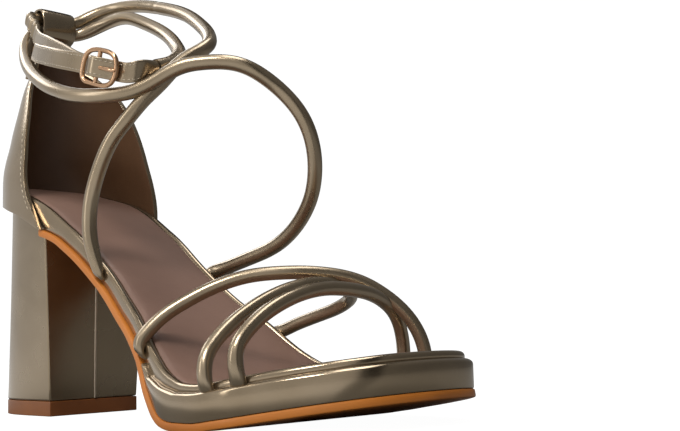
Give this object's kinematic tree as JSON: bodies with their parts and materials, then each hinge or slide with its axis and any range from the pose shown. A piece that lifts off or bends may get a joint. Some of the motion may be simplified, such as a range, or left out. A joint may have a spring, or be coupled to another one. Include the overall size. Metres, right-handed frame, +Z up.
{
  "type": "strappy heeled sandal",
  "caption": "Open sandal with rounded tubular straps over toes and ankle, closed heel counter, low platform and block heel.",
  "frame": {"origin": "on the floor, straight under the back of the footbed's heel seat, on the sole's long centre line", "axes": "+Z up; the toe points to -Y; +X is the inner side of the foot and -X the outer side"},
  "size_m": [0.0905, 0.2204, 0.1781],
  "materials": {
    "gold": "metallic patent, gloss",
    "insock": "soft matt",
    "outsole": "satin",
    "top_lift": "satin",
    "buckle": "polished"
  },
  "bodies": {
    "root": {"insock": "insock", "footbed": "gold", "platform": "gold", "outsole": "outsole", "heel_block": "gold", "top_lift": "top_lift", "counter": "gold", "keeper": "gold", "vamp_straps": "gold", "ankle_cords": "gold", "buckle_strap": "gold", "billet": "gold", "buckle_frame": "buckle", "buckle_prong": "buckle"}
  },
  "joints": []
}
